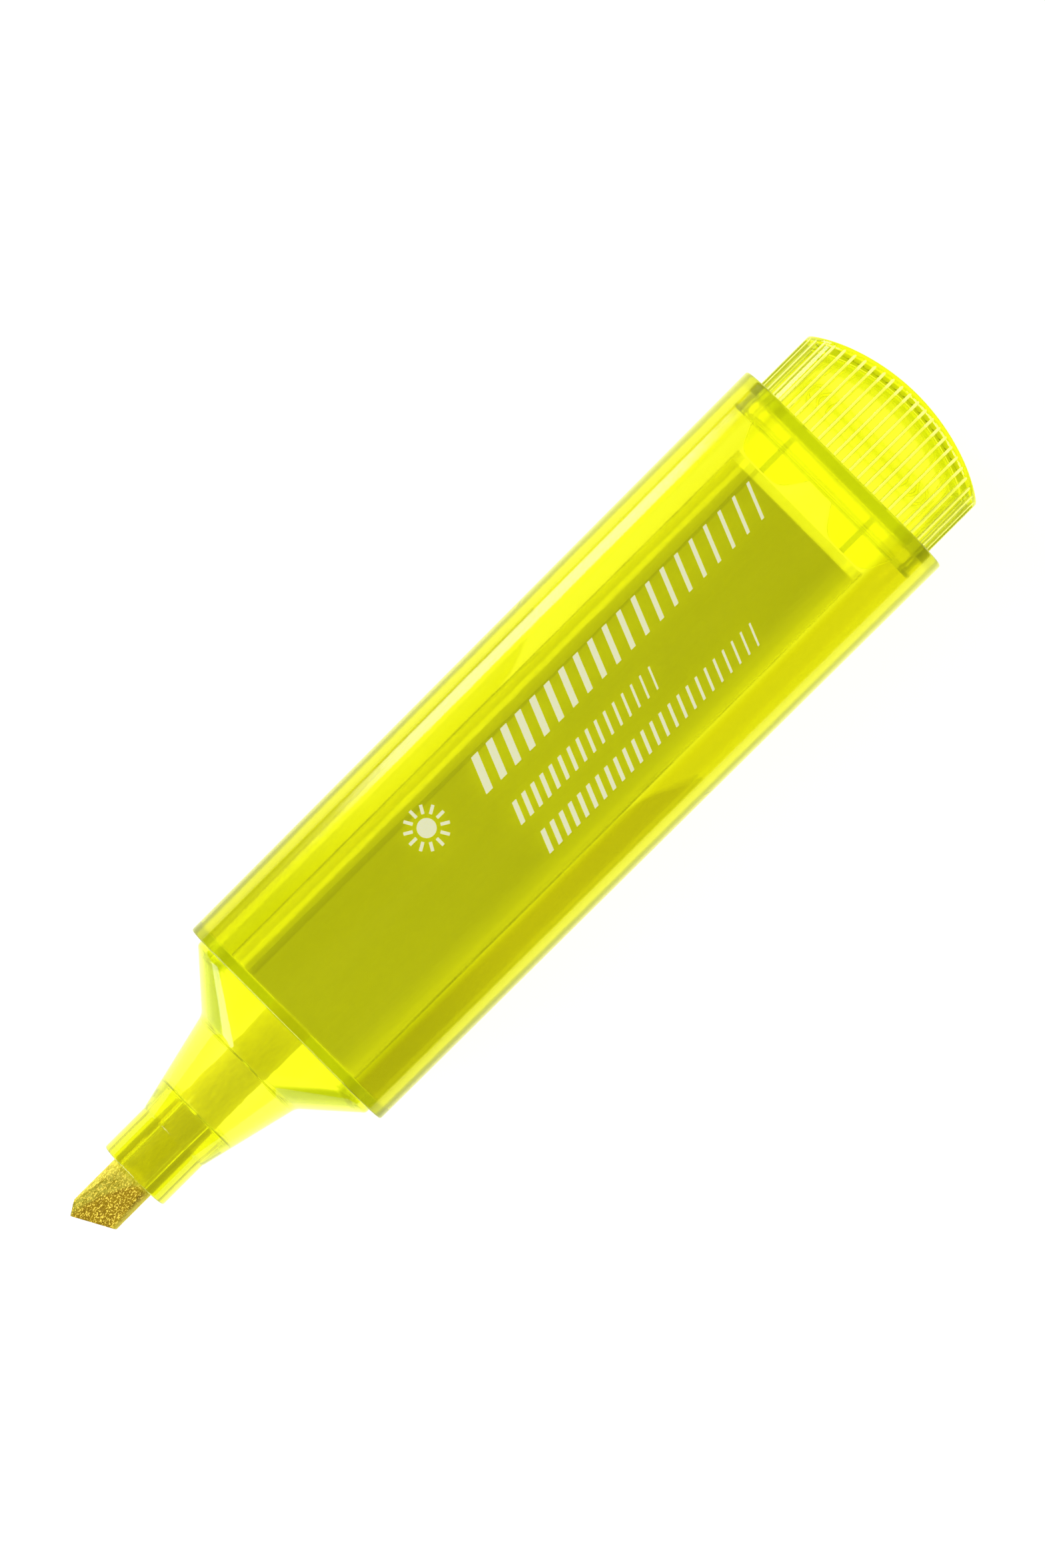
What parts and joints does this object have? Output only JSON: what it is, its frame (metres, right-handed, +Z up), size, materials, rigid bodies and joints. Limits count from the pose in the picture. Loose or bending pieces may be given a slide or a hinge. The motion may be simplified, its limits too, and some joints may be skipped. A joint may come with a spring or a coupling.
{
  "type": "highlighter",
  "caption": "Flat-bodied translucent highlighter, cap off, with a chisel fibre nib, a wrapped ink reservoir inside and a ribbed end plug.",
  "frame": {"origin": "on the lower flat face of the barrel, below the middle of the overall length and width", "axes": "+X along the pen from the writing tip to the end plug, +Y across its width, +Z up through its thickness"},
  "size_m": [0.116, 0.027, 0.016],
  "materials": {
    "barrel_plastic": "translucent fluorescent yellow moulding, satin gloss",
    "nose_plastic": "translucent fluorescent yellow moulding, glossy",
    "plug_plastic": "translucent fluorescent yellow moulding, glossy",
    "nib_fibre": "bonded polyester fibre wet with yellow ink",
    "ink_fibre": "polyester fibre soaked with yellow ink",
    "clear_film": "clear thin film",
    "print_ink": "matt pale pad-printed ink"
  },
  "bodies": {
    "pen": {"barrel": "barrel_plastic", "nose_section": "nose_plastic", "nib": "nib_fibre", "reservoir_core": "ink_fibre", "reservoir_film": "clear_film", "barrel_print": "print_ink"},
    "plug": {"end_plug": "plug_plastic"}
  },
  "joints": [
    {"name": "plug_pull", "type": "slide", "parent": "pen", "child": "plug", "axis": [1, 0, 0], "range_m": [0, 0.012]}
  ]
}
